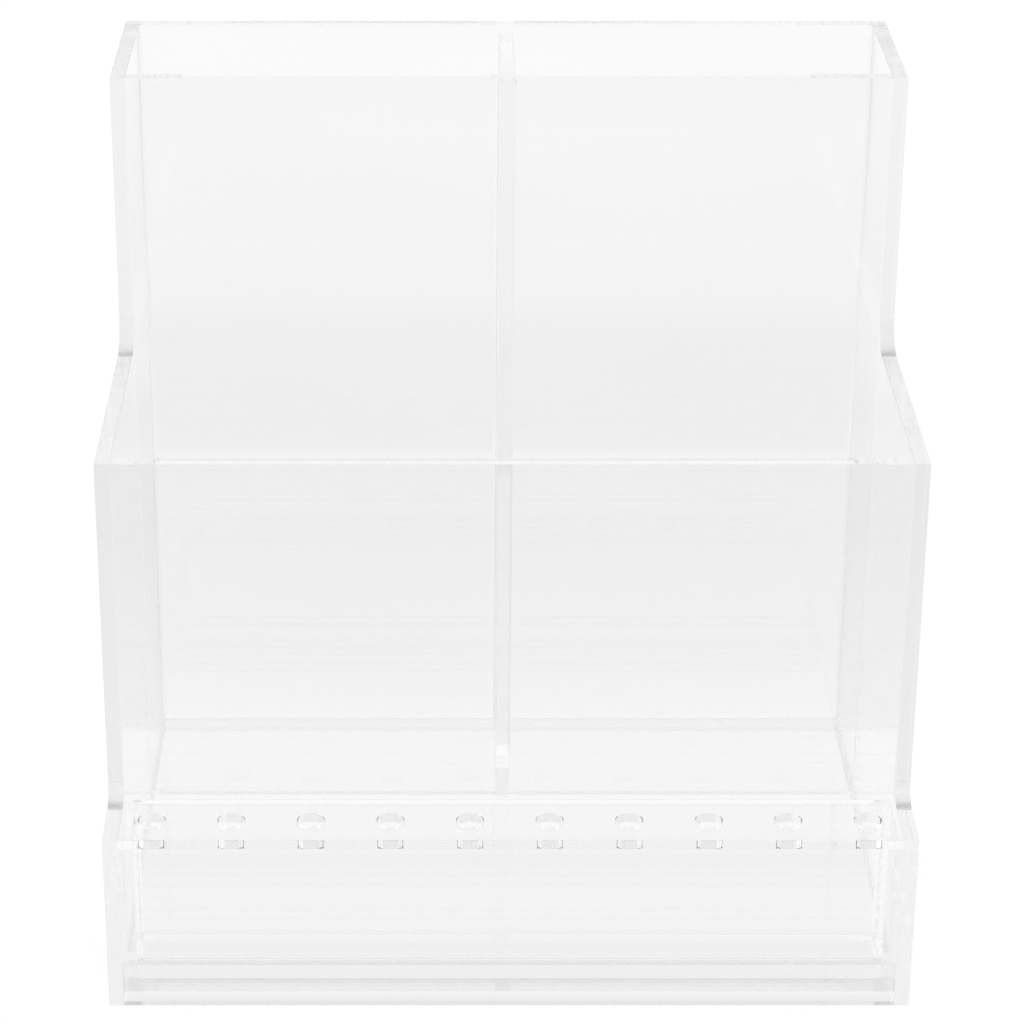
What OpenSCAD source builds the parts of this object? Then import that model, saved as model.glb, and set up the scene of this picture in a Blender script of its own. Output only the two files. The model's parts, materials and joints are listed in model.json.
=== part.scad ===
// Clear stepped desk organiser for nail drill bits, files and brushes.
// Flat clear sheets are bonded edge to face. Millimetres, +Z up, front towards -Y.
// The origin is the middle of the footprint, on the surface that it stands on.

/* [Outer size] */
// Width over both side panels
holder_w = 120; // [90:1:180]
// Depth from the front edge to the back face
holder_d = 88; // [75:1:140]
// Height of the tall rear bins
tall_h = 126.5; // [100:0.5:180]
// Height of the middle bin
mid_h = 83.5; // [55:0.5:95]
// Height of the low bit rack
low_h = 28.5; // [20:0.5:45]
// Distance from the front edge to the front of the middle bin
mid_setback = 12; // [8:0.5:20]
// Distance from the front edge to the front of the tall bins
tall_setback = 58; // [35:0.5:65]

/* [Sheet] */
// Thickness of the side, back, front and divider sheets
sheet_t = 2.25; // [1.5:0.25:4]
// Radius in the inside corner of the upper step
upper_step_r = 5; // [1:0.5:10]
// Radius in the inside corner of the lower step
lower_step_r = 3; // [1:0.5:6]

/* [Base] */
// Gap between the standing surface and the underside of the floor
floor_lift = 1.75; // [0.5:0.25:6]
// Thickness of the floor sheet
floor_t = 2.25; // [1.5:0.25:4]
// Height of the front lip
lip_h = 7.2; // [6:0.1:14]
// Thickness of the front lip
lip_t = 1.75; // [1:0.25:4]

/* [Bit rack] */
// Number of bit holes
bit_count = 10; // [4:1:14]
// Diameter of a bit hole
bit_hole_d = 4; // [2.5:0.1:5]
// Thickness of the drilled shelf
shelf_t = 1.5; // [1:0.25:4]
// Thickness of the strip that carries each end of the shelf
support_t = 2.25; // [1.5:0.25:4]
// Clear distance between an end hole and the support strip
bit_end_gap = 0.4; // [0.2:0.1:4]

/* [Divider] */
// Thickness of the divider between the rear bins
divider_t = 2.25; // [1.5:0.25:4]
// Distance from the rim down to the top of the divider
divider_drop = 1.5; // [0:0.25:20]

/* [Hidden] */
$fn = 64;
// How far a cutting shape runs past the face that it cuts
cut_over = 1;

// Clear width between the side panels
inner_w = holder_w - 2 * sheet_t;
// Top of the floor, where the walls stand
floor_top = floor_lift + floor_t;
// Underside of the drilled shelf
shelf_base = low_h - shelf_t;
// Clear width between the support strips
rack_w = inner_w - 2 * support_t;
// Distance between the centres of the two end holes
bit_span = rack_w - 2 * bit_end_gap - bit_hole_d;
// Distance between neighbouring holes
bit_pitch = bit_span / (bit_count - 1);
// Distance from the front edge to the inside of the back panel
back_face = holder_d - sheet_t;

acrylic = [0.93, 0.95, 0.96, 0.35];

// A sheet of the given width, depth and height, centred on x, from a distance behind the front edge
module sheet(width, depth, height, setback, base) {
    translate([-width / 2, setback - holder_d / 2, base])
        cube([width, depth, height]);
}

// Stands an outline of depth and height upright as a sheet whose near face is at x
module upright(x, thickness) {
    translate([x, -holder_d / 2, 0])
        rotate([90, 0, 90])
            linear_extrude(thickness)
                children();
}

// Air in front of a step: open to the front and the top, with a round inside corner
module step_air(depth, height, radius) {
    translate([-cut_over, radius])
        square([depth + cut_over, height - radius + cut_over]);
    translate([-cut_over, 0])
        square([depth + cut_over - radius, radius + cut_over]);
    translate([depth - radius, radius])
        circle(radius);
}

// Outline of a side panel: three tiers that rise to the back
module side_outline() {
    difference() {
        square([holder_d, tall_h]);
        translate([0, mid_h])
            step_air(tall_setback, tall_h - mid_h, upper_step_r);
        translate([0, low_h])
            step_air(mid_setback, mid_h - low_h + cut_over, lower_step_r);
    }
}

// Outline of a support strip: flush at the front and notched round the lip
module support_outline() {
    difference() {
        translate([0, floor_top])
            square([mid_setback, shelf_base - floor_top]);
        translate([-cut_over, floor_top - cut_over])
            square([lip_t + cut_over, lip_h - floor_top + cut_over]);
    }
}

module left_side_panel() {
    color(acrylic)
        upright(-holder_w / 2, sheet_t)
            side_outline();
}

module right_side_panel() {
    color(acrylic)
        upright(inner_w / 2, sheet_t)
            side_outline();
}

module back_panel() {
    color(acrylic)
        sheet(inner_w, sheet_t, tall_h, back_face, 0);
}

module tall_bin_front() {
    color(acrylic)
        sheet(inner_w, sheet_t, tall_h - floor_top, tall_setback, floor_top);
}

module rear_divider() {
    front = tall_setback + sheet_t;
    color(acrylic)
        sheet(divider_t, back_face - front, tall_h - divider_drop - floor_top, front, floor_top);
}

module middle_bin_front() {
    color(acrylic)
        sheet(inner_w, sheet_t, mid_h - floor_top, mid_setback, floor_top);
}

module floor_panel() {
    color(acrylic)
        sheet(inner_w, back_face - lip_t, floor_t, lip_t, floor_lift);
}

module front_lip() {
    color(acrylic)
        sheet(inner_w, lip_t, lip_h, 0, 0);
}

module bit_shelf() {
    color(acrylic)
        difference() {
            sheet(inner_w, mid_setback, shelf_t, 0, shelf_base);
            for (i = [0 : bit_count - 1])
                translate([-bit_span / 2 + i * bit_pitch, (mid_setback - holder_d) / 2, shelf_base - cut_over])
                    cylinder(d = bit_hole_d, h = shelf_t + 2 * cut_over);
        }
}

module left_shelf_support() {
    color(acrylic)
        upright(-inner_w / 2, support_t)
            support_outline();
}

module right_shelf_support() {
    color(acrylic)
        upright(inner_w / 2 - support_t, support_t)
            support_outline();
}

left_side_panel();
right_side_panel();
back_panel();
tall_bin_front();
rear_divider();
middle_bin_front();
floor_panel();
front_lip();
bit_shelf();
left_shelf_support();
right_shelf_support();
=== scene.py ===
"""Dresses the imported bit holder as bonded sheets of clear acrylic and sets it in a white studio."""

import json
import logging
import math
from dataclasses import dataclass, replace
from enum import IntEnum
from typing import Any

import bmesh
import bpy
import numpy as np
from mathutils import Matrix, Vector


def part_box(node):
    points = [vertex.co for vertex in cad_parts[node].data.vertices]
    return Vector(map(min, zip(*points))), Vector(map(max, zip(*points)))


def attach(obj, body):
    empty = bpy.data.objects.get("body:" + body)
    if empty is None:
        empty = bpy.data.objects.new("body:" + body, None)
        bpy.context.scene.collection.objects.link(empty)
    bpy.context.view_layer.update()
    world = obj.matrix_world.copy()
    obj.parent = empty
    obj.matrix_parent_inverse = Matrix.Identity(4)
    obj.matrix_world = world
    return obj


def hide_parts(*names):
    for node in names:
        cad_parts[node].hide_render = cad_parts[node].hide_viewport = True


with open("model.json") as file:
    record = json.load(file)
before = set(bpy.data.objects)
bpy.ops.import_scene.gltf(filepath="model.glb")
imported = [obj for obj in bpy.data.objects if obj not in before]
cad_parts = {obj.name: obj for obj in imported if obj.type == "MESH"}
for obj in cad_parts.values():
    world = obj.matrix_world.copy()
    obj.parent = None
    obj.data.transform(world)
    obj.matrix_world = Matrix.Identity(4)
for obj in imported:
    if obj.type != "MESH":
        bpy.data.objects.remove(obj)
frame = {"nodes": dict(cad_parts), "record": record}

LOG = logging.getLogger("bit_holder")
MM = 0.001
# How far outside a surface a joint is looked for.
TOUCH = 0.1 * MM
# Vertices this close become one, those this close to a cut lie on it, and cuts differ by these decimals.
MERGE = 2e-7
ON_PLANE = 1e-8
CUT_DECIMALS = 7
# The least divisor, and the least squared sine of a corner.
TINY = 1e-12
STRAIGHT = 1e-9
# The least part of a normal along the thickness on a flat face, the least along any axis on a square face,
# and the most along the thickness on an edge.
FLAT = 0.99
SQUARE = 0.999
ACROSS = 0.01
ACRYLIC_IOR = 1.49
# How strong each finer layer of a noise is, where most of its values lie, and where the haze has its limits.
NOISE_ROUGHNESS = 0.55
NOISE_RANGE = (0.3, 0.7)
HAZE_NOISE = (0.35, 0.75)
# Ray depths are whole numbers, so a depth below this is none.
NO_DEPTH = 0.5
Box = tuple[np.ndarray, np.ndarray]
Curve = tuple[tuple[float, float], ...]


class Axis(IntEnum):
    """The direction in which a sheet's thickness or a bead runs."""

    X = 0
    Y = 1
    Z = 2

    def plane(self) -> list[int]:
        """Gives the two other axes, on which an outline or a profile is drawn."""
        return [i for i in range(3) if i != self]

    def lift(self, flat: np.ndarray, height: np.ndarray | float) -> np.ndarray:
        """Places points of that plane in space.

        Args:
            flat: Points in the plane, shape (..., 2).
            height: Their places along this direction.

        Returns:
            Points in space, shape (..., 3).
        """
        points = np.empty(flat.shape[:-1] + (3,))
        points[..., self.plane()] = flat
        points[..., self] = height
        return points


class Surface(IntEnum):
    """The kinds of surface on a sheet, numbered as its material slots."""

    FACE = 0
    EDGE = 1
    BOND = 2
    BORE = 3
    MILLED = 4


class Graph:
    """A node tree with short calls that add nodes and join their sockets."""

    def __init__(self, tree: bpy.types.NodeTree) -> None:
        """Empties a material's or the world's node tree and keeps it."""
        tree.nodes.clear()
        self.tree = tree

    def add(self, kind: str, inputs: dict[Any, Any] | None = None, **settings: Any) -> bpy.types.Node:
        """Adds one node.

        Args:
            kind: The node's Blender type name.
            inputs: Values for its input sockets; a value that is itself a socket is joined.
            settings: Properties of the node.

        Returns:
            The new node.
        """
        node = self.tree.nodes.new(kind)
        for name, value in settings.items():
            setattr(node, name, value)
        for name, value in (inputs or {}).items():
            if isinstance(value, bpy.types.NodeSocket):
                self.tree.links.new(value, node.inputs[name])
            else:
                node.inputs[name].default_value = value
        return node

    def math(self, operation: str, first: Any, second: Any = 0.0) -> bpy.types.NodeSocket:
        """Adds a Math node on numbers or sockets and gives its output."""
        return self.add("ShaderNodeMath", {0: first, 1: second}, operation=operation).outputs[0]

    def ramp(self, value: Any, start: float, end: float, low: float, high: float) -> bpy.types.NodeSocket:
        """Adds a smooth Map Range.

        Args:
            value: The socket that is mapped.
            start: The value that gives low.
            end: The value that gives high.
            low: The result at start and before it.
            high: The result at end and beyond it.

        Returns:
            The mapped socket.
        """
        inputs = {"Value": value, "From Min": start, "From Max": end, "To Min": low, "To Max": high}
        node = self.add("ShaderNodeMapRange", inputs, interpolation_type="SMOOTHSTEP")
        return node.outputs["Result"]

    def curve(self, value: Any, points: Curve) -> bpy.types.NodeSocket:
        """Adds a curve through given points, eased between them and level beyond the ends.

        Args:
            value: The socket that is mapped.
            points: Pairs of a value and its result, in rising order.

        Returns:
            The mapped socket.
        """
        start, end = points[0][0], points[-1][0]
        inputs = {"Value": value, "From Min": start, "From Max": end}
        part = self.add("ShaderNodeMapRange", inputs).outputs["Result"]
        top = max(result for _, result in points)
        node = self.add("ShaderNodeValToRGB", {"Fac": part})
        node.color_ramp.interpolation = "EASE"
        stops = node.color_ramp.elements
        while len(stops) < len(points):
            stops.new(0.5)
        for stop, (place, result) in zip(stops, points):
            stop.position = (place - start) / (end - start)
            stop.color = (result / top, result / top, result / top, 1.0)
        return self.math("MULTIPLY", node.outputs["Color"], top)

    def noise(self, stretch: tuple[float, float, float], detail: float = 2.0) -> bpy.types.NodeSocket:
        """Adds a noise on Object coordinates.

        Args:
            stretch: How many of its cells lie in a metre along X, Y and Z.
            detail: Its number of finer layers.

        Returns:
            The noise value, mostly within NOISE_RANGE.
        """
        place = self.add("ShaderNodeTexCoord").outputs["Object"]
        mapped = self.add("ShaderNodeMapping", {"Vector": place, "Scale": stretch}).outputs["Vector"]
        inputs = {"Vector": mapped, "Scale": 1.0, "Detail": detail, "Roughness": NOISE_ROUGHNESS}
        return self.add("ShaderNodeTexNoise", inputs).outputs["Fac"]


@dataclass(frozen=True)
class Acrylic:
    """A clear acrylic surface with the haze and the unevenness that its making leaves.

    Attributes:
        name: The material's name.
        tint: Share of the light that passes a sheet of two such surfaces, the same for every colour.
        haze: Least and greatest roughness.
        haze_grain: Cells of the haze in a metre along X, Y and Z.
        ripples: Layers of unevenness, each its cells in a metre and its height in metres.
    """

    name: str
    tint: float
    haze: tuple[float, float]
    haze_grain: tuple[float, float, float]
    ripples: tuple[tuple[tuple[float, float, float], float], ...]

    def surface(self, graph: Graph) -> bpy.types.Node:
        """Adds the refracting shader.

        Args:
            graph: The material's node tree.

        Returns:
            The shader node.
        """
        colour = (self.tint, self.tint, self.tint, 1.0)
        shader = graph.add("ShaderNodeBsdfPrincipled", {"Base Color": colour, "IOR": ACRYLIC_IOR,
                                                        "Transmission Weight": 1.0, "Metallic": 0.0})
        haze = graph.ramp(graph.noise(self.haze_grain, detail=1.0), *HAZE_NOISE, *self.haze)
        graph.tree.links.new(haze, shader.inputs["Roughness"])
        normal: bpy.types.NodeSocket | None = None
        for stretch, height in self.ripples:
            inputs = {"Height": graph.noise(stretch, detail=0.0), "Strength": 1.0, "Distance": height}
            if normal is not None:
                inputs["Normal"] = normal
            normal = graph.add("ShaderNodeBump", inputs).outputs["Normal"]
        if normal is not None:
            graph.tree.links.new(normal, shader.inputs["Normal"])
        return shader

    def make(self) -> bpy.types.Material:
        """Makes the material."""
        material = bpy.data.materials.new(self.name)
        material.use_nodes = True
        graph = Graph(material.node_tree)
        shader = self.surface(graph)
        graph.add("ShaderNodeOutputMaterial", {"Surface": shader.outputs["BSDF"]})
        return material


@dataclass(frozen=True)
class BondLine(Acrylic):
    """A cemented joint, seen through except where the cement left small voids.

    Attributes:
        void_grain: Cells of the voids in a metre along X, Y and Z.
        void_level: Noise level above which the joint is a void.
        void_edge: Rise of the level over which a void begins.
    """

    void_grain: tuple[float, float, float] = (260.0, 260.0, 260.0)
    void_level: float = 0.9
    void_edge: float = 0.01

    def surface(self, graph: Graph) -> bpy.types.Node:
        """Adds the refracting shader, which shows in the voids alone.

        Args:
            graph: The material's node tree.

        Returns:
            The shader node.
        """
        shader = super().surface(graph)
        level = graph.noise(self.void_grain, detail=3.0)
        alpha = graph.ramp(level, self.void_level, self.void_level + self.void_edge, 0.0, 1.0)
        graph.tree.links.new(alpha, shader.inputs["Alpha"])
        return shader


FACE_RIPPLES = (((30.0, 30.0, 30.0), 1.5e-6), ((700.0, 700.0, 700.0), 1.2e-8))
EDGE_RIPPLES = (((120.0, 120.0, 120.0), 5e-7), ((1800.0, 1800.0, 1800.0), 6e-8))
POLISH = (0.960, (0.0, 0.006), (60.0, 60.0, 60.0), FACE_RIPPLES)
POLISHED_FACE = Acrylic("polished_acrylic_face", *POLISH)
THIN_FACE = replace(POLISHED_FACE, name="thin_acrylic_face", tint=0.985)
CUT_EDGE = Acrylic("cut_acrylic_edge", 0.91, (0.01, 0.05), (500.0, 500.0, 500.0), EDGE_RIPPLES)
# The side panels' and supports' cut edge: rougher than the bin walls' cut edge, and its darker tint is
# painted shade.
SIDE_EDGE_PAINTED_SHADE = replace(CUT_EDGE, name="cut_acrylic_side_edge_painted_shade", tint=0.88, haze=(0.06, 0.13))
POLISHED_EDGE = Acrylic("polished_acrylic_edge", 0.99, (0.0, 0.02), (500.0, 500.0, 500.0), EDGE_RIPPLES[:1])
SAWN_EDGE = Acrylic("sawn_acrylic_edge", 0.78, (0.02, 0.08), (300.0, 900.0, 900.0),
                    (((120.0, 900.0, 900.0), 4e-7),))
BORED_WALL = Acrylic("bored_acrylic_wall", 0.90, (0.0, 0.04), (600.0, 600.0, 2500.0),
                     (((900.0, 900.0, 900.0), 4e-5),))
MILLED_FILLET = Acrylic("milled_acrylic_fillet", 1.0, (0.40, 0.50), (400.0, 900.0, 900.0),
                        (((60.0, 1500.0, 1500.0), 4e-7),))
CEMENTED = BondLine("cemented_joint", *POLISH)


def inset(outline: np.ndarray, distance: np.ndarray) -> np.ndarray:
    """Moves each edge of a closed outline inwards by its own distance.

    A corner goes to where its two moved edges cross. With the unit inward normals n1 and n2 of the edges
    before and after it, c their dot product and a and b their distances, the corner shifts by
    ((a - c b) n1 + (b - c a) n2) / (1 - c c), or by the mean distance along n1 where the edges run straight
    on.

    Args:
        outline: Anticlockwise corners, shape (n, 2).
        distance: The distance of the edge that starts at each corner.

    Returns:
        The moved corners, shape (n, 2).
    """
    along = np.roll(outline, -1, axis=0) - outline
    along = along / np.linalg.norm(along, axis=1, keepdims=True)
    after = np.stack((-along[:, 1], along[:, 0]), axis=1)
    before = np.roll(after, 1, axis=0)
    b = distance[:, None]
    a = np.roll(distance, 1)[:, None]
    c = np.sum(before * after, axis=1, keepdims=True)
    straight = 1.0 - c * c < STRAIGHT
    room = np.where(straight, 1.0, 1.0 - c * c)
    crossing = ((a - c * b) * before + (b - c * a) * after) / room
    return outline + np.where(straight, 0.5 * (a + b) * before, crossing)


def rectangle(low: np.ndarray, high: np.ndarray) -> np.ndarray:
    """Gives a rectangle's corners, anticlockwise, from its lowest and its highest corner."""
    return np.array([[low[0], low[1]], [high[0], low[1]], [high[0], high[1]], [low[0], high[1]]])


def quads(rows: int, columns: int, start: int = 0) -> np.ndarray:
    """Numbers the quads of a grid of vertices whose last column joins the first.

    Args:
        rows: Rows of vertices.
        columns: Vertices in a row.
        start: Number of the grid's first vertex.

    Returns:
        Corner numbers, shape (n, 4).
    """
    row = np.arange(rows - 1)[:, None] * columns
    column = np.arange(columns)[None, :]
    beside = (column + 1) % columns
    above = row + columns
    corners = np.stack((row + column, row + beside, above + beside, above + column), axis=-1)
    return corners.reshape(-1, 4) + start


def tube(rows: int, columns: int) -> list[list[int]]:
    """Numbers the faces of such a grid with its two ends closed, the ends last."""
    last = (rows - 1) * columns
    return quads(rows, columns).tolist() + [list(range(columns)), list(range(last, last + columns))]


def finished(name: str, mesh: bpy.types.Mesh, materials: list[bpy.types.Material], crease: float,
             node: str | None = None) -> bpy.types.Object:
    """Smooths a mesh and makes it a piece that rides on the part.

    Args:
        name: The piece's name.
        mesh: Its mesh.
        materials: One material for each kind of surface, in order.
        crease: Angle in degrees above which two faces meet in a sharp line.
        node: The CAD node that the piece replaces, if any.

    Returns:
        The piece.
    """
    mesh.polygons.foreach_set("use_smooth", np.ones(len(mesh.polygons), bool))
    mesh.set_sharp_from_angle(angle=math.radians(crease))
    for material in materials:
        mesh.materials.append(material)
    piece = bpy.data.objects.new(name, mesh)
    bpy.context.scene.collection.objects.link(piece)
    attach(piece, "root")
    if node is not None:
        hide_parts(node)
    return piece


@dataclass
class Joinery:
    """Which sheets touch, and which of those joints are cemented.

    Attributes:
        solids: Each node's boxes, as lowest and highest corners in metres.
        dry: Pairs of nodes that touch without cement.
        gap: Width left between two cemented surfaces, so that they never coincide.
        slit: Width of the air in a dry joint.
    """

    solids: dict[str, list[Box]]
    dry: set[frozenset[str]]
    gap: float = 0.01 * MM
    slit: float = 0.04 * MM

    def partners(self, node: str, dry: bool = False) -> list[Box]:
        """Gives the boxes of the other pieces that a sheet would meet dry, or else with cement."""
        return [box for other, boxes in self.solids.items() for box in boxes
                if other != node and (frozenset((node, other)) in self.dry) == dry]

    def joined(self, node: str, points: np.ndarray, dry: bool = False) -> np.ndarray:
        """Tells which points just outside a sheet lie in a sheet that it is joined to.

        Args:
            node: The sheet's node.
            points: Points in metres, shape (n, 3).
            dry: True for its dry joints, False for the cemented ones.

        Returns:
            True for each such point.
        """
        hits = np.zeros(len(points), bool)
        for low, high in self.partners(node, dry):
            hits |= np.all((points > low) & (points < high), axis=1)
        return hits

    def cuts(self, node: str) -> list[tuple[int, float]]:
        """Lists the planes that part a sheet's cemented strips from its free surface.

        Args:
            node: The sheet's node.

        Returns:
            An axis and a place on it for each plane.
        """
        low = np.min([box[0] for box in self.solids[node]], axis=0)
        high = np.max([box[1] for box in self.solids[node]], axis=0)
        planes: set[tuple[int, float]] = set()
        for near, far in self.partners(node):
            if np.any(near > high + TOUCH) or np.any(far < low - TOUCH):
                continue
            for axis in range(3):
                for place in (near[axis], far[axis]):
                    if low[axis] + TOUCH < place < high[axis] - TOUCH:
                        planes.add((axis, round(float(place), CUT_DECIMALS)))
        return sorted(planes)


@dataclass
class SheetWork:
    """Cuts one sheet: an outline carried through the sheet's thickness, with rounded arrises.

    Attributes:
        node: The CAD node that the sheet stands for.
        axis: The direction of its thickness.
        outline: Anticlockwise corners in the outline's plane, in metres.
        span: Lowest and highest place along the thickness.
        joinery: The joints with the other sheets.
        arris: Radius of the arrises.
        steps: Strips round each arris.
        crease: Angle in degrees above which two faces meet in a sharp line.
    """

    node: str
    axis: Axis
    outline: np.ndarray
    span: tuple[float, float]
    joinery: Joinery
    arris: float = 0.02 * MM
    steps: int = 2
    crease: float = 14.0

    def joined_edges(self, dry: bool) -> np.ndarray:
        """Tells which edges of the outline are joined, by a point just outside the middle of each.

        Args:
            dry: True for dry joints, False for cemented ones.

        Returns:
            True for each such edge.
        """
        along = np.roll(self.outline, -1, axis=0) - self.outline
        outward = np.stack((along[:, 1], -along[:, 0]), axis=1)
        outward = outward / np.linalg.norm(outward, axis=1, keepdims=True)
        middle = self.outline + 0.5 * along + TOUCH * outward
        return self.joinery.joined(self.node, self.axis.lift(middle, 0.5 * sum(self.span)), dry)

    def recesses(self) -> np.ndarray:
        """Gives how far each edge of the outline lies in, to leave its joint's gap or slit."""
        dry = np.where(self.joined_edges(True), self.joinery.slit, 0.0)
        return np.where(self.joined_edges(False), self.joinery.gap, dry)

    def rings(self) -> np.ndarray:
        """Carries the outline round both arrises.

        At the angle f from the edge band to the flat face, an edge lies in from the outline by its recess
        plus r (1 - cos f), and a corner lies r (1 - sin f) below the face, where r is the arris radius.

        Returns:
            Rings of corners from one face to the other, shape (2 steps + 2, n, 3).
        """
        recess = self.recesses()
        angle = np.linspace(0.0, math.pi / 2.0, self.steps + 1)
        flat = [inset(self.outline, recess + self.arris * (1.0 - math.cos(f))) for f in angle]
        depth = self.arris * (1.0 - np.sin(angle))
        low = [self.axis.lift(ring, self.span[0] + d) for ring, d in zip(flat, depth)]
        high = [self.axis.lift(ring, self.span[1] - d) for ring, d in zip(flat, depth)]
        return np.array(low[::-1] + high)

    def shape(self) -> tuple[np.ndarray, list[list[int]]]:
        """Gives the sheet's vertices and faces, with one flat polygon on each side."""
        rings = self.rings()
        return rings.reshape(-1, 3), tube(rings.shape[0], rings.shape[1])

    def kinds(self, centres: np.ndarray, normals: np.ndarray) -> np.ndarray:
        """Sorts faces into flat, cut, milled and cemented.

        Args:
            centres: Face centres, shape (n, 3).
            normals: Face normals, shape (n, 3).

        Returns:
            The material slot of each face.
        """
        flat = np.abs(normals[:, self.axis]) > FLAT
        kind = np.where(flat, Surface.FACE, Surface.EDGE)
        square = np.max(np.abs(normals), axis=1) > SQUARE
        round_edge = ~square & (np.abs(normals[:, self.axis]) < ACROSS)
        kind = np.where(round_edge, Surface.MILLED, kind)
        touching = self.joinery.joined(self.node, centres + TOUCH * normals)
        return np.where(touching & square, Surface.BOND, kind)

    def make(self, materials: list[bpy.types.Material]) -> bpy.types.Object:
        """Builds the sheet as an object that rides on the part and replaces its node.

        Args:
            materials: One material for each kind of surface, in order.

        Returns:
            The finished object.
        """
        name = f"{self.node}_sheet"
        vertices, faces = self.shape()
        mesh = bpy.data.meshes.new(name)
        mesh.from_pydata(vertices.tolist(), [], faces)
        work = bmesh.new()
        work.from_mesh(mesh)
        bmesh.ops.remove_doubles(work, verts=work.verts[:], dist=MERGE)
        for axis, place in self.joinery.cuts(self.node):
            point = [place if i == axis else 0.0 for i in range(3)]
            direction = [1.0 if i == axis else 0.0 for i in range(3)]
            bmesh.ops.bisect_plane(work, geom=work.verts[:] + work.edges[:] + work.faces[:], dist=ON_PLANE,
                                   plane_co=point, plane_no=direction)
        bmesh.ops.recalc_face_normals(work, faces=work.faces[:])
        work.to_mesh(mesh)
        work.free()
        centres = np.empty(3 * len(mesh.polygons))
        normals = np.empty_like(centres)
        mesh.polygons.foreach_get("center", centres)
        mesh.polygons.foreach_get("normal", normals)
        kinds = self.kinds(centres.reshape(-1, 3), normals.reshape(-1, 3))
        mesh.polygons.foreach_set("material_index", kinds.astype(np.int32))
        return finished(name, mesh, materials, self.crease, self.node)


@dataclass(kw_only=True)
class BoredSheet(SheetWork):
    """A sheet with a row of bored holes, each in its own cell of the sheet.

    Attributes:
        centres: Hole centres in the outline's plane, in a row along its first axis.
        radius: Hole radius.
        chamfer: Width of the broken rim.
        share: Quads along each side of a cell.
        collar: Place of a ring of vertices round each hole, as a share of the way to the cell's border.
    """

    centres: np.ndarray
    radius: float
    chamfer: float = 0.07 * MM
    share: int = 14
    collar: float = 0.3

    def cells(self, low: np.ndarray, high: np.ndarray) -> tuple[np.ndarray, np.ndarray]:
        """Finds where rays from each hole's centre meet the border of its cell.

        The cells part half way between the centres. The angles run round each cell from corner to corner in
        even steps, and a ray at the angle t goes as far as the nearer of the side, at half width over
        |cos t|, and the front or back, at half depth over |sin t|.

        Args:
            low: Lowest corner of the flat face.
            high: Highest corner of the flat face.

        Returns:
            Unit directions, shape (holes, 4 share, 2), and the ray lengths, shape (holes, 4 share).
        """
        x, y = self.centres[:, 0], self.centres[:, 1]
        middle = 0.5 * (x[1:] + x[:-1])
        left = x - np.concatenate(([low[0]], middle))
        right = np.concatenate((middle, [high[0]])) - x
        front, back = y - low[1], high[1] - y
        first = np.arctan2(-front, right)
        last = np.arctan2(-front, -left) + 2 * np.pi
        corners = np.stack((first, np.arctan2(back, right), np.arctan2(back, -left), last,
                            first + 2 * np.pi), axis=1)
        part = np.arange(self.share) / self.share
        angle = corners[:, :4, None] + (corners[:, 1:] - corners[:, :4])[:, :, None] * part
        angle = angle.reshape(len(x), -1)
        aim = np.stack((np.cos(angle), np.sin(angle)), axis=-1)
        across, along = aim[..., 0], aim[..., 1]
        wide = np.where(across > 0, right[:, None], left[:, None]) / np.maximum(np.abs(across), TINY)
        deep = np.where(along > 0, back[:, None], front[:, None]) / np.maximum(np.abs(along), TINY)
        return aim, np.minimum(wide, deep)

    def shape(self) -> tuple[np.ndarray, list[list[int]]]:
        """Gives the sheet's vertices and faces.

        Each cell is one surface of angle and path: in from the cell's border over the upper face to the
        hole's rim, down its chamfers and wall, and out over the lower face to the border. The borders of
        all the cells together are the outline that is carried round the arrises.
        """
        border_inset = self.recesses() + self.arris
        full = self.outline
        flat = inset(full, border_inset)
        aim, reach = self.cells(flat.min(axis=0), flat.max(axis=0))
        holes, turns = reach.shape
        rim = self.radius + self.chamfer
        low, high = self.span
        path = [(1.0, rim, high), (self.collar, rim, high), (0.0, rim, high),
                (0.0, self.radius, high - self.chamfer), (0.0, self.radius, low + self.chamfer),
                (0.0, rim, low), (self.collar, rim, low), (1.0, rim, low)]
        grid = np.array([self.axis.lift(self.centres[:, None] + aim * (r + t * (reach - r))[..., None], z)
                         for t, r, z in path])
        grid = np.transpose(grid, (1, 0, 2, 3))
        border = (self.centres[:, None] + aim * reach[..., None]).reshape(holes, 4, self.share, 2)
        ring = np.concatenate((border[:, 3].reshape(-1, 2), border[-1, 0],
                               border[::-1, 1].reshape(-1, 2), border[0, 2]))
        spread = [holes * self.share, self.share, holes * self.share, self.share]
        self.outline = inset(ring, -np.repeat(border_inset, spread))
        rings = self.rings()
        self.outline = full
        faces = quads(rings.shape[0], rings.shape[1]).tolist()
        start = rings.shape[0] * rings.shape[1]
        for hole in range(holes):
            faces += quads(len(path), turns, start=start + hole * len(path) * turns).tolist()
        return np.concatenate((rings.reshape(-1, 3), grid.reshape(-1, 3))), faces

    def kinds(self, centres: np.ndarray, normals: np.ndarray) -> np.ndarray:
        """Sorts faces as for a plain sheet, with the hole walls apart.

        Args:
            centres: Face centres, shape (n, 3).
            normals: Face normals, shape (n, 3).

        Returns:
            The material slot of each face.
        """
        kind = super().kinds(centres, normals)
        flat = centres[:, self.axis.plane()]
        away = np.min(np.linalg.norm(flat[:, None] - self.centres[None], axis=-1), axis=1)
        return np.where(away < self.radius + self.chamfer, Surface.BORE, kind)


@dataclass
class SubAssembly:
    """A group of sheets that are made and dressed alike.

    Attributes:
        joinery: The joints between all the sheets.
        materials: One material for each kind of surface, in order.
    """

    joinery: Joinery
    materials: list[bpy.types.Material]

    def plain(self, node: str, axis: Axis) -> bpy.types.Object:
        """Makes a rectangular sheet that fills its node's box.

        Args:
            node: The CAD node.
            axis: The direction of its thickness.

        Returns:
            The finished piece.
        """
        low, high = (np.array(corner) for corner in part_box(node))
        outline = rectangle(low[axis.plane()], high[axis.plane()])
        span = (float(low[axis]), float(high[axis]))
        return SheetWork(node, axis, outline, span, self.joinery).make(self.materials)


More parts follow.
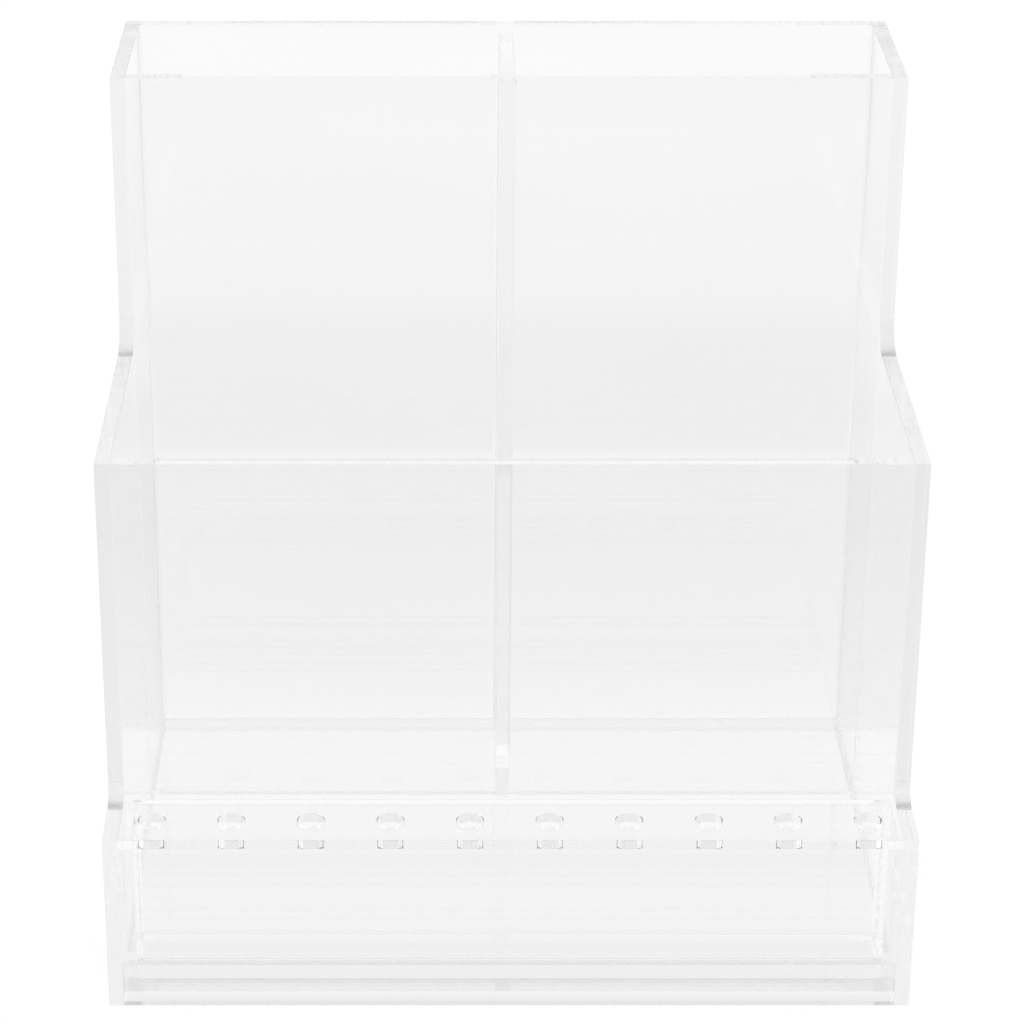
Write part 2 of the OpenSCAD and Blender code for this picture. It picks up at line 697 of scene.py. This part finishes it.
@dataclass
class SidePanels(SubAssembly):
    """The two stepped side panels.

    Attributes:
        upper_fillet: Radius in the corner between the tall and the middle step.
        lower_fillet: Radius in the corner between the middle and the low step.
        arc_steps: Straight pieces in each fillet.
    """

    upper_fillet: float = 5.0 * MM
    lower_fillet: float = 3.0 * MM
    arc_steps: int = 14

    def fillet(self, corner: tuple[float, float], radius: float) -> np.ndarray:
        """Rounds an inner corner of the outline.

        The arc's centre lies a radius in front of and above the corner, and the arc runs from the upright
        edge, at the angle 0, down to the level edge, at minus a quarter turn.

        Args:
            corner: The corner in Y and Z.
            radius: The fillet radius.

        Returns:
            Points along the arc, shape (arc_steps + 1, 2).
        """
        angle = np.linspace(0.0, -math.pi / 2.0, self.arc_steps + 1)
        centre = np.array([corner[0] - radius, corner[1] + radius])
        return centre + radius * np.stack((np.cos(angle), np.sin(angle)), axis=1)

    def outline(self) -> np.ndarray:
        """Draws the stepped outline from the fronts and rims of the bins and the shelf."""
        low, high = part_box("left_side_panel")
        tall_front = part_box("tall_bin_front")[0][1]
        middle_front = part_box("middle_bin_front")[0][1]
        middle_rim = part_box("middle_bin_front")[1][2]
        low_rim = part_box("bit_shelf")[1][2]
        return np.concatenate((
            [[low[1], low[2]], [high[1], low[2]], [high[1], high[2]], [tall_front, high[2]]],
            self.fillet((tall_front, middle_rim), self.upper_fillet),
            [[middle_front, middle_rim]],
            self.fillet((middle_front, low_rim), self.lower_fillet),
            [[low[1], low_rim]]))

    def build(self) -> list[bpy.types.Object]:
        """Makes both panels."""
        outline = self.outline()
        pieces = []
        for node in ("left_side_panel", "right_side_panel"):
            low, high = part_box(node)
            work = SheetWork(node, Axis.X, outline, (low[0], high[0]), self.joinery)
            pieces.append(work.make(self.materials))
        return pieces


@dataclass
class BinWalls(SubAssembly):
    """The upright sheets of the rear and middle bins."""

    def build(self) -> list[bpy.types.Object]:
        """Makes the back, the two fronts and the divider."""
        pieces = [self.plain(node, Axis.Y) for node in ("back_panel", "tall_bin_front", "middle_bin_front")]
        return pieces + [self.plain("rear_divider", Axis.X)]


@dataclass
class BaseTray(SubAssembly):
    """The raised floor and the low lip in front of it."""

    def build(self) -> list[bpy.types.Object]:
        """Makes the floor and the lip."""
        return [self.plain("floor_panel", Axis.Z), self.plain("front_lip", Axis.Y)]


@dataclass
class ShelfSupports(SubAssembly):
    """The two notched supports under the shelf's ends."""

    def build(self) -> list[bpy.types.Object]:
        """Makes both supports, notched round the lip and clear of the side panels by the joint's gap."""
        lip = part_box("front_lip")[1]
        gap = self.joinery.gap
        pieces = []
        for node in ("left_shelf_support", "right_shelf_support"):
            low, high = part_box(node)
            outline = np.array([[lip[1], low[2]], [high[1], low[2]], [high[1], high[2]], [low[1], high[2]],
                                [low[1], lip[2]], [lip[1], lip[2]]])
            span = (low[0] + gap, high[0]) if low[0] < 0 else (low[0], high[0] - gap)
            pieces.append(SheetWork(node, Axis.X, outline, span, self.joinery).make(self.materials))
        return pieces


@dataclass
class BitShelf(SubAssembly):
    """The shelf bored for the bits."""

    def build(self) -> list[bpy.types.Object]:
        """Makes the shelf, with its holes where the record's bores are."""
        low, high = (np.array(corner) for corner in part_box("bit_shelf"))
        bores = [m for m in frame["record"]["mounts"] if m["name"].startswith("bit_hole_")]
        centres = np.array(sorted(m["pos_m"][:2] for m in bores))
        radius = bores[0]["dims"]["r_mm"] * MM
        work = BoredSheet("bit_shelf", Axis.Z, rectangle(low[:2], high[:2]), (low[2], high[2]),
                          self.joinery, centres=centres, radius=radius)
        return [work.make(self.materials)]


@dataclass(frozen=True)
class BeadRun:
    """One straight bead of cement in an inner corner.

    Attributes:
        axis: The direction in which the bead runs.
        span: Its lowest and highest place along that direction.
        corner: The corner, in the two other axes.
        turn: For each of those axes, 1 or -1 for the side on which the bead lies.
        hollow: How hollow the bead is on average, from 0 for a flat skin to 1 for a quarter circle.
    """

    axis: Axis
    span: tuple[float, float]
    corner: tuple[float, float]
    turn: tuple[int, int]
    hollow: float

    def box(self, leg: float) -> Box:
        """Gives the box that the bead fills.

        Args:
            leg: The bead's width on either sheet.

        Returns:
            The lowest and the highest corner.
        """
        corner = np.array(self.corner)
        flat = np.sort(np.stack((corner, corner + np.array(self.turn) * leg)), axis=0)
        low, high = self.axis.lift(flat, np.array(self.span))
        return low, high


@dataclass
class CementBeads:
    """The thin clear beads that the cement leaves along the inner corners.

    Attributes:
        leg: A bead's width on either sheet.
        gap: Width left between a bead and the sheets.
        arc_steps: Strips across a bead.
        pitch: Length of a strip along a bead.
        end: Length that a bead stays clear of the next corner or rim.
        back_hollow: How hollow the beads in the back corners are.
        lip_hollow: How hollow the bead behind the lip is.
        waves: Waves of the hollow along a bead, each its height, its length and its pace of phase.
        phase: Phase between one bead and the next, in radians.
        crease: Angle in degrees above which two faces meet in a sharp line.
    """

    leg: float = 0.45 * MM
    gap: float = 0.01 * MM
    arc_steps: int = 5
    pitch: float = 0.9 * MM
    end: float = 0.6 * MM
    back_hollow: float = 0.62
    lip_hollow: float = 0.24
    waves: tuple[tuple[float, float, float], ...] = ((0.09, 7.0 * MM, 1.0), (0.06, 17.0 * MM, 2.0))
    phase: float = 1.7
    crease: float = 35.0

    def back_runs(self, low: np.ndarray, high: np.ndarray) -> list[BeadRun]:
        """Lists the beads up the two back corners of a bin.

        Args:
            low: Lowest corner of the space in the bin.
            high: Highest corner of that space.

        Returns:
            Two runs.
        """
        span = (low[2] + self.end, high[2] - self.end)
        sides = ((low[0], 1), (high[0], -1))
        return [BeadRun(Axis.Z, span, (x, high[1]), (turn, -1), self.back_hollow) for x, turn in sides]

    def groups(self) -> dict[str, list[BeadRun]]:
        """Reads the bins and the lip from the sheets round them.

        Returns:
            The runs of each group, by the name of its piece.
        """
        left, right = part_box("left_side_panel")[1][0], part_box("right_side_panel")[0][0]
        front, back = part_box("tall_bin_front")[1][1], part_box("back_panel")[0][1]
        divider, floor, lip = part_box("rear_divider"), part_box("floor_panel"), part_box("front_lip")
        near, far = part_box("left_shelf_support")[1][0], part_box("right_shelf_support")[0][0]
        rear = []
        for a, b in ((left, divider[0][0]), (divider[1][0], right)):
            rear += self.back_runs(np.array([a, front, floor[1][2]]), np.array([b, back, divider[1][2]]))
        foot = BeadRun(Axis.X, (near + self.end, far - self.end), (lip[1][1], floor[0][2]), (1, -1),
                       self.lip_hollow)
        return {"rear_bin_cement": rear, "front_lip_cement": [foot]}

    def surface(self, run: BeadRun, phase: float) -> tuple[np.ndarray, list[list[int]], list[int]]:
        """Carries the bead's profile along its run.

        The profile goes from the corner along one sheet to the leg's end, over the bead's skin and back
        along the other sheet. At the part t of the skin its place is b times the hollow quarter circle,
        leg - (leg - gap) (sin t, cos t), plus 1 - b times the straight line between the two ends. The
        hollow b wavers along the run round its average as a sum of sine waves.

        Args:
            run: The bead's run.
            phase: Where the waves start, in radians.

        Returns:
            Vertices, faces and the material slot of each face.
        """
        rings = max(2, round((run.span[1] - run.span[0]) / self.pitch))
        place = np.linspace(run.span[0], run.span[1], rings)
        swell = sum(height * np.sin(place / length * 2.0 * math.pi + pace * phase)
                    for height, length, pace in self.waves)
        hollow = (run.hollow + swell)[:, None, None]
        part = np.linspace(0.0, 1.0, self.arc_steps + 1)[:, None]
        turn = 0.5 * math.pi * part
        arc = self.leg - (self.leg - self.gap) * np.concatenate((np.sin(turn), np.cos(turn)), axis=1)
        line = arc[:1] + (arc[-1:] - arc[:1]) * part
        skin = hollow * arc + (1.0 - hollow) * line
        corner = np.full((rings, 1, 2), self.gap)
        flat = np.array(run.corner) + np.array(run.turn) * np.concatenate((corner, skin), axis=1)
        points = run.axis.lift(flat, place[:, None])
        band = [Surface.BOND] + [Surface.FACE] * self.arc_steps + [Surface.BOND]
        slots = band * (rings - 1) + [Surface.FACE] * 2
        return points.reshape(-1, 3), tube(rings, flat.shape[1]), slots

    def build(self, materials: list[bpy.types.Material]) -> list[bpy.types.Object]:
        """Makes one piece of each group.

        Args:
            materials: One material for each kind of surface, in order.

        Returns:
            The finished pieces.
        """
        pieces = []
        for name, runs in self.groups().items():
            vertices, faces, slots, start = [], [], [], 0
            for number, run in enumerate(runs):
                points, corners, kinds = self.surface(run, self.phase * number)
                vertices.append(points)
                faces += [[start + i for i in face] for face in corners]
                slots += kinds
                start += len(points)
            mesh = bpy.data.meshes.new(name)
            mesh.from_pydata(np.concatenate(vertices).tolist(), [], faces)
            mesh.polygons.foreach_set("material_index", np.array(slots, np.int32))
            work = bmesh.new()
            work.from_mesh(mesh)
            bmesh.ops.recalc_face_normals(work, faces=work.faces[:])
            work.to_mesh(mesh)
            work.free()
            pieces.append(finished(name, mesh, materials, self.crease))
        return pieces


def holder_joinery(beads: CementBeads) -> Joinery:
    """Reads every sheet's solid from the frame.

    Args:
        beads: The cement beads, which are joined to the sheets too.

    Returns:
        The boxes of all the sheets, the stepped and notched ones in parts, and the dry joints of the lip
        and of the divider's back.
    """
    solids = {node: [tuple(np.array(corner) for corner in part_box(node))] for node in frame["nodes"]}
    lip = solids["front_lip"][0][1]
    rims = [("bit_shelf", None)] + [(front, front) for front in ("middle_bin_front", "tall_bin_front")]
    for node in ("left_side_panel", "right_side_panel"):
        low, high = solids[node][0]
        parts = []
        for top, front in rims:
            start = low[1] if front is None else solids[front][0][0][1]
            rim = solids[top][0][1][2]
            parts.append((np.array([low[0], start, low[2]]), np.array([high[0], high[1], rim])))
        solids[node] = parts
    for node in ("left_shelf_support", "right_shelf_support"):
        low, high = solids[node][0]
        solids[node] = [(np.array([low[0], lip[1], low[2]]), high),
                        (np.array([low[0], low[1], lip[2]]), high)]
    for name, runs in beads.groups().items():
        solids[name] = [run.box(beads.leg) for run in runs]
    others = ("left_side_panel", "right_side_panel", "left_shelf_support", "right_shelf_support",
              "floor_panel")
    dry = {frozenset(("front_lip", other)) for other in others}
    return Joinery(solids, dry | {frozenset(("rear_divider", "back_panel"))})


@dataclass(frozen=True)
class SoftBox:
    """A square soft lamp that faces the part.

    Attributes:
        name: The lamp's name.
        place: Its centre in metres.
        size: Its side in metres.
        watts: Its power.
        aim: Height of the point that it faces, above the middle of the floor.
    """

    name: str
    place: tuple[float, float, float]
    size: float
    watts: float
    aim: float = 0.06

    def build(self) -> bpy.types.Object:
        """Adds the lamp, hidden from mirrored rays and from rays through the acrylic."""
        light = bpy.data.lights.new(self.name, "AREA")
        light.size = self.size
        light.energy = self.watts
        lamp = bpy.data.objects.new(self.name, light)
        back = np.array(self.place) - np.array([0.0, 0.0, self.aim])
        back = back / np.linalg.norm(back)
        side = np.cross([0.0, 1.0, 0.0], back)
        side = side / np.linalg.norm(side)
        matrix = np.eye(4)
        matrix[:3, :3] = np.stack((side, np.cross(back, side), back), axis=1)
        matrix[:3, 3] = self.place
        lamp.matrix_world = Matrix(matrix.tolist())
        lamp.visible_glossy = False
        lamp.visible_transmission = False
        bpy.context.scene.collection.objects.link(lamp)
        return lamp


@dataclass
class Studio:
    """A white floor with painted shadow, light and reflection, a sky, soft lamps and the camera.

    Attributes:
        floor_rings: Radii of the floor's rings of vertices, in metres.
        floor_turns: Vertices in each ring.
        floor_drop: How far the floor lies under the part.
        floor_grey: The floor's own colour.
        floor_grain: Noise scale of its mottling.
        floor_mottle: How far the mottling goes to each side of that colour.
        floor_glow: Light added to the floor where it is seen, directly, through the acrylic or mirrored.
        painted_reflection_tones: Shares of that glow where the floor is seen mirrored, by the place along Y
            in
        metres: a painted reflection, darker in front of the part, with painted light under it and painted
        shade behind it.
        painted_floor_shadow_and_light: Shares of it where the floor is seen straight through the part, by
            the
            place along Y, under and behind the part: painted shadow below 1 and painted light above 1.
        spread: How much the part's view of the floor, which bounds the painted shadow and light, widens to
            each side, by the way behind.
        spread_from: Place along Y from which it widens.
        shade_sides: Places along X, less the widening, between which the painted shadow and light end.
        shade_front: Places along Y between which the painted shadow and light begin.
        sky_front: Brightness of the sky in front, where it is mirrored.
        sky_tones: Brightness of the sky behind, where it is mirrored, by the sine of the height.
        sky_turn: Parts of a direction along Y between which the sky in front becomes the sky behind.
        lamps: The soft lamps.
        eye: The camera's place in metres.
        pitch: The camera's tilt down, in degrees.
        focal: Its focal length in image widths.
        shift: How far the picture's middle lies to the right of its axis, in image widths.
        sensor: Its sensor's width in mm.
        clip: The nearest and the farthest distance that it sees, in metres.
        bounces: Most bounces of a ray in the acrylic.
        clear_bounces: Most surfaces that a ray passes unbent.
    """

    floor_rings: tuple[float, ...] = (0.15, 0.5, 1.5, 4.0)
    floor_turns: int = 64
    floor_drop: float = 0.04 * MM
    floor_grey: float = 0.06
    floor_grain: float = 9.0
    floor_mottle: float = 0.005
    floor_glow: float = 0.95
    # Painted reflection of the floor: darker in front of the part, painted light under it, painted shade
    # behind it.
    painted_reflection_tones: Curve = (
        (-0.36, 0.85), (-0.20, 0.45), (-0.09, 0.9), (-0.044, 1.08), (-0.036, 1.08), (-0.028, 1.06),
        (-0.022, 1.07), (0.042, 1.08), (0.047, 0.94), (0.053, 0.94), (0.062, 0.95), (0.11, 0.93),
        (0.18, 0.92), (0.22, 1.0))
    # Painted shadow under and behind the part below 1, painted light above 1, on the floor seen straight
    # through it.
    painted_floor_shadow_and_light: Curve = (
        (-0.0445, 0.89), (-0.036, 0.97), (-0.03, 0.945), (-0.021, 1.03), (-0.009, 1.01), (-0.002, 0.97),
        (0.005, 1.08), (0.03, 1.1), (0.045, 1.08), (0.06, 1.03), (0.08, 1.0), (0.13, 1.01), (0.161, 1.0),
        (0.168, 0.93), (0.2, 0.947), (0.22, 0.963), (0.26, 1.026), (0.35, 1.013), (0.42, 0.988))
    spread: float = 0.14
    spread_from: float = 0.014
    shade_sides: tuple[float, float] = (0.0550, 0.0557)
    shade_front: tuple[float, float] = (-0.0445, -0.0440)
    sky_front: float = 0.65
    sky_tones: Curve = ((0.45, 1.03), (0.505, 1.04), (0.54, 1.0), (0.95, 1.0))
    sky_turn: tuple[float, float] = (-0.7, 0.4)
    lamps: tuple[SoftBox, ...] = (SoftBox("softbox_front", (-0.12, -0.75, 0.7), 0.5, 3.2),
                                  SoftBox("softbox_above", (0.1, 0.05, 0.9), 0.6, 2.2))
    eye: tuple[float, float, float] = (-0.0106, -0.4816, 0.2825)
    pitch: float = 24.67
    focal: float = 3434.0 / 1024.0
    shift: float = 0.0719
    sensor: float = 36.0
    clip: tuple[float, float] = (0.01, 20.0)
    bounces: int = 96
    clear_bounces: int = 64

    def backdrop(self, graph: Graph, seen: Any, mirrored: bpy.types.NodeSocket,
                 lights: bool) -> bpy.types.NodeSocket:
        """Chooses the backdrop's brightness by the way it is seen.

        Args:
            graph: The node tree.
            seen: Brightness for a ray from the camera that was never mirrored, straight or through acrylic.
            mirrored: Brightness as mirrored in the acrylic.
            lights: True if it also lights matt surfaces, as brightly as it is mirrored.

        Returns:
            The brightness.
        """
        path = graph.add("ShaderNodeLightPath").outputs
        through = graph.math("MAXIMUM", path["Is Camera Ray"], path["Is Transmission Ray"])
        unmirrored = graph.math("LESS_THAN", path["Glossy Depth"], NO_DEPTH)
        direct = graph.math("LESS_THAN", path["Diffuse Depth"], NO_DEPTH)
        straight = graph.math("MULTIPLY", graph.math("MULTIPLY", through, unmirrored), direct)
        if not lights:
            mirrored = graph.math("MULTIPLY", mirrored, direct)
        bent = graph.math("MULTIPLY", graph.math("SUBTRACT", 1.0, straight), mirrored)
        return graph.math("ADD", graph.math("MULTIPLY", straight, seen), bent)

    def floor(self) -> bpy.types.Object:
        """Makes the floor as a large disc just under the part, a grid of radius and angle."""
        rings, turns = len(self.floor_rings), self.floor_turns
        radius = np.array(self.floor_rings)[:, None]
        angle = np.linspace(0.0, 2.0 * math.pi, turns, endpoint=False)[None, :]
        level = np.full((rings, turns), -self.floor_drop)
        ring = np.stack((radius * np.cos(angle), radius * np.sin(angle), level), axis=-1)
        faces = quads(rings, turns).tolist() + [list(range(turns))]
        mesh = bpy.data.meshes.new("studio_floor")
        mesh.from_pydata(ring.reshape(-1, 3).tolist(), [], faces)
        material = bpy.data.materials.new("studio_white")
        material.use_nodes = True
        graph = Graph(material.node_tree)
        grain = graph.noise((self.floor_grain, self.floor_grain, self.floor_grain))
        tone = graph.ramp(grain, *NOISE_RANGE, self.floor_grey - self.floor_mottle,
                          self.floor_grey + self.floor_mottle)
        colour = graph.add("ShaderNodeCombineColor", {0: tone, 1: tone, 2: tone}).outputs[0]
        matt = graph.add("ShaderNodeBsdfDiffuse", {"Color": colour})
        place = graph.add("ShaderNodeSeparateXYZ", {0: graph.add("ShaderNodeTexCoord").outputs["Object"]})
        across, along = place.outputs["X"], place.outputs["Y"]
        # Painted reflection: the floor's tones where it is mirrored in the acrylic.
        mirrored = graph.curve(along, self.painted_reflection_tones)
        # The part's outline on the floor, which bounds the painted shadow and light.
        spread = graph.math("MULTIPLY", graph.math("MAXIMUM", along, self.spread_from), self.spread)
        aside = graph.math("SUBTRACT", graph.math("ABSOLUTE", across), spread)
        beside = graph.ramp(aside, *self.shade_sides, 0.0, 1.0)
        before = graph.ramp(along, *self.shade_front, 1.0, 0.0)
        bare = graph.add("ShaderNodeLightPath").outputs["Is Camera Ray"]
        # Painted shadow and light on the floor seen straight through the part, kept off rays that meet the
        # floor directly.
        painted_shade_and_light = graph.curve(along, self.painted_floor_shadow_and_light)
        for unshaded in (beside, before, bare):
            painted_shade_and_light = graph.math("MAXIMUM", painted_shade_and_light, unshaded)
        strength = graph.math("MULTIPLY", self.backdrop(graph, painted_shade_and_light, mirrored, False), self.floor_glow)
        glow = graph.add("ShaderNodeEmission", {"Strength": strength})
        both = graph.add("ShaderNodeAddShader", {0: matt.outputs[0], 1: glow.outputs[0]})
        graph.add("ShaderNodeOutputMaterial", {"Surface": both.outputs[0]})
        mesh.materials.append(material)
        disc = bpy.data.objects.new("studio_floor", mesh)
        bpy.context.scene.collection.objects.link(disc)
        return disc

    def sky(self) -> None:
        """Makes the world: white where it is seen, and mirrored as bright behind and dimmer in front."""
        world = bpy.data.worlds.new("studio_sky")
        world.use_nodes = True
        bpy.context.scene.world = world
        graph = Graph(world.node_tree)
        way = graph.add("ShaderNodeTexCoord").outputs["Generated"]
        split = graph.add("ShaderNodeSeparateXYZ", {0: way})
        behind = graph.ramp(split.outputs["Y"], *self.sky_turn, 0.0, 1.0)
        level = graph.math("MULTIPLY", behind, graph.curve(split.outputs["Z"], self.sky_tones))
        ahead = graph.math("MULTIPLY", graph.math("SUBTRACT", 1.0, behind), self.sky_front)
        strength = self.backdrop(graph, 1.0, graph.math("ADD", level, ahead), True)
        back = graph.add("ShaderNodeBackground", {"Color": (1.0, 1.0, 1.0, 1.0), "Strength": strength})
        graph.add("ShaderNodeOutputWorld", {"Surface": back.outputs[0]})

    def camera(self) -> bpy.types.Object:
        """Makes the camera from its place and its tilt."""
        pitch = math.radians(self.pitch)
        matrix = np.eye(4)
        matrix[:3, 1] = (0.0, math.sin(pitch), math.cos(pitch))
        matrix[:3, 2] = (0.0, -math.cos(pitch), math.sin(pitch))
        matrix[:3, 3] = self.eye
        data = bpy.data.cameras.new("studio_camera")
        data.sensor_fit = "HORIZONTAL"
        data.sensor_width = self.sensor
        data.lens = self.sensor * self.focal
        data.shift_x = self.shift
        data.clip_start, data.clip_end = self.clip
        camera = bpy.data.objects.new("studio_camera", data)
        camera.matrix_world = Matrix(matrix.tolist())
        bpy.context.scene.collection.objects.link(camera)
        bpy.context.scene.camera = camera
        return camera

    def build(self) -> None:
        """Makes the whole studio."""
        self.floor()
        self.sky()
        for lamp in self.lamps:
            lamp.build()
        self.camera()
        scene = bpy.context.scene
        scene.view_settings.view_transform = "Standard"
        scene.cycles.max_bounces = self.bounces
        scene.cycles.diffuse_bounces = 1
        scene.cycles.transmission_bounces = self.bounces
        scene.cycles.glossy_bounces = self.bounces
        scene.cycles.transparent_max_bounces = self.clear_bounces


def main() -> None:
    """Builds the sub-assemblies in order, then the studio."""
    logging.basicConfig(level=logging.INFO, format="%(name)s: %(message)s")
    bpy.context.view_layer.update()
    beads = CementBeads()
    joinery = holder_joinery(beads)
    side, cut, sawn, flamed = (finish.make() for finish in (SIDE_EDGE_PAINTED_SHADE, CUT_EDGE, SAWN_EDGE, POLISHED_EDGE))
    thick, thin = (finish.make() for finish in (POLISHED_FACE, THIN_FACE))
    materials = [thick, cut] + [finish.make() for finish in (CEMENTED, BORED_WALL, MILLED_FILLET)]
    pieces: list[bpy.types.Object] = []
    # The side panels and the supports take the edge whose darker tint is painted shade.
    for kind, face, edge in ((SidePanels, thick, side), (BinWalls, thick, cut), (BaseTray, thick, sawn),
                             (ShelfSupports, thick, side), (BitShelf, thin, flamed)):
        materials[Surface.FACE] = face
        materials[Surface.EDGE] = edge
        pieces += kind(joinery, materials).build()
    # The beads take the thin face and the flamed edge, which the shelf left in the list.
    for piece in pieces + beads.build(materials):
        LOG.info("%s: %d faces", piece.name, len(piece.data.polygons))
    Studio().build()


if __name__ == "__main__":
    main()
